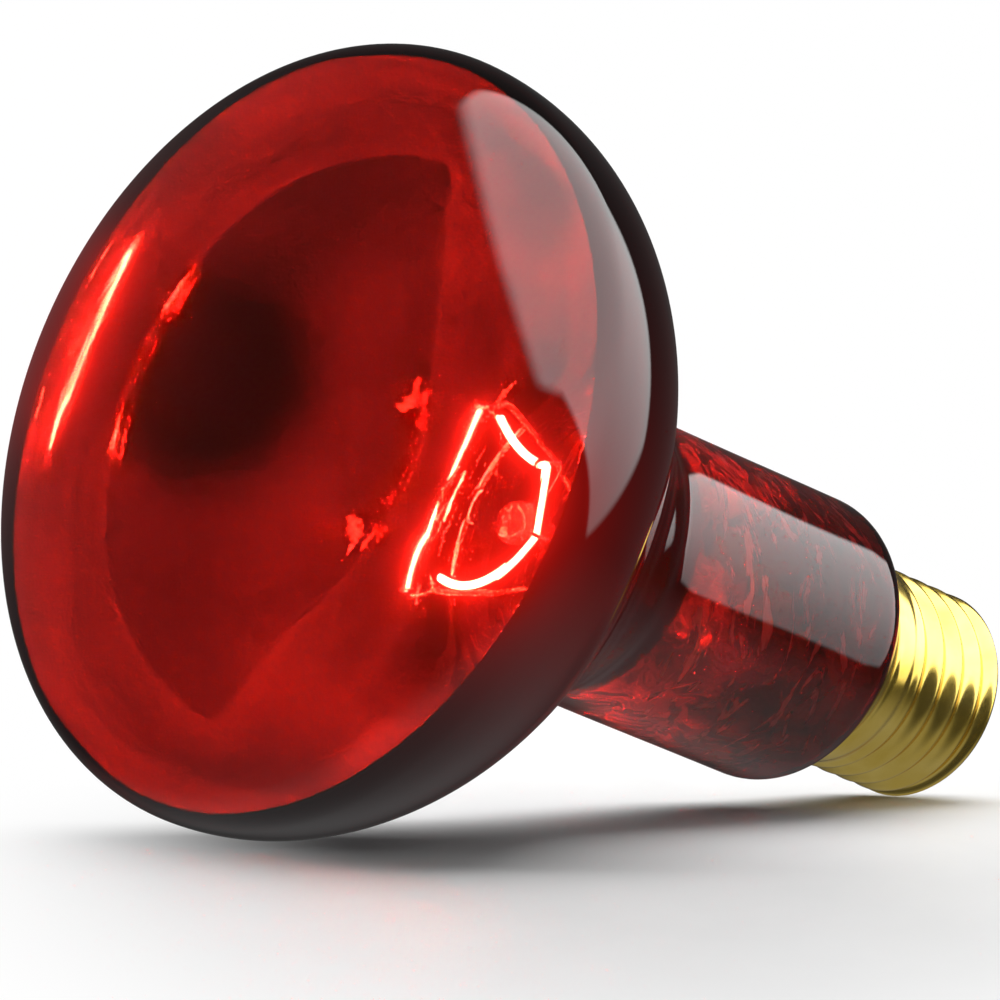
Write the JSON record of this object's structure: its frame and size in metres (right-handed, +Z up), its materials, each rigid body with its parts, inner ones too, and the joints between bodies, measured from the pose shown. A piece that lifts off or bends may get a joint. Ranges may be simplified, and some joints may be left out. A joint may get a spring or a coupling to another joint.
{
  "type": "infrared reflector lamp",
  "caption": "Ruby glass infrared reflector bulb with an aluminised mushroom-shaped bowl, a straight neck and a brass screw cap, lying on its side.",
  "frame": {"origin": "on the surface the lamp lies on, below the middle of its bounding box", "axes": "+Z up; the lamp's axis lies in the XZ plane with the front of the glass towards +X, tipped up 17.9 degrees, resting on the bowl's widest ring and on the cap's last thread crest"},
  "size_m": [0.1348, 0.0948, 0.0917],
  "materials": {
    "ruby_glass": "clear deep red glass, polished",
    "aluminium_mirror": "vacuum-deposited aluminium",
    "clear_glass": "clear lead glass",
    "nickel_wire": "drawn nickel-plated wire",
    "copper_wire": "bright copper-clad wire",
    "molybdenum_wire": "drawn wire",
    "glowing_tungsten": "coiled tungsten wire, lit",
    "cap_brass": "bright rolled brass",
    "black_glass": "black moulded glass",
    "cement": "baked capping cement",
    "solder": "tin solder"
  },
  "bodies": {
    "root": {"glass_envelope": "ruby_glass", "reflector_coating": "aluminium_mirror", "stem_glass": "clear_glass", "exhaust_tube": "clear_glass", "arbor_rod": "clear_glass", "inner_lead_upper": "nickel_wire", "inner_lead_lower": "nickel_wire", "seal_wire_upper": "copper_wire", "seal_wire_lower": "copper_wire", "side_lead": "copper_wire", "centre_lead": "copper_wire", "filament": "glowing_tungsten", "filament_support_1": "molybdenum_wire", "filament_support_2": "molybdenum_wire", "cap_shell": "cap_brass", "centre_contact": "cap_brass", "cap_insulator": "black_glass", "capping_cement": "cement", "centre_solder": "solder", "side_solder": "solder"}
  },
  "joints": []
}
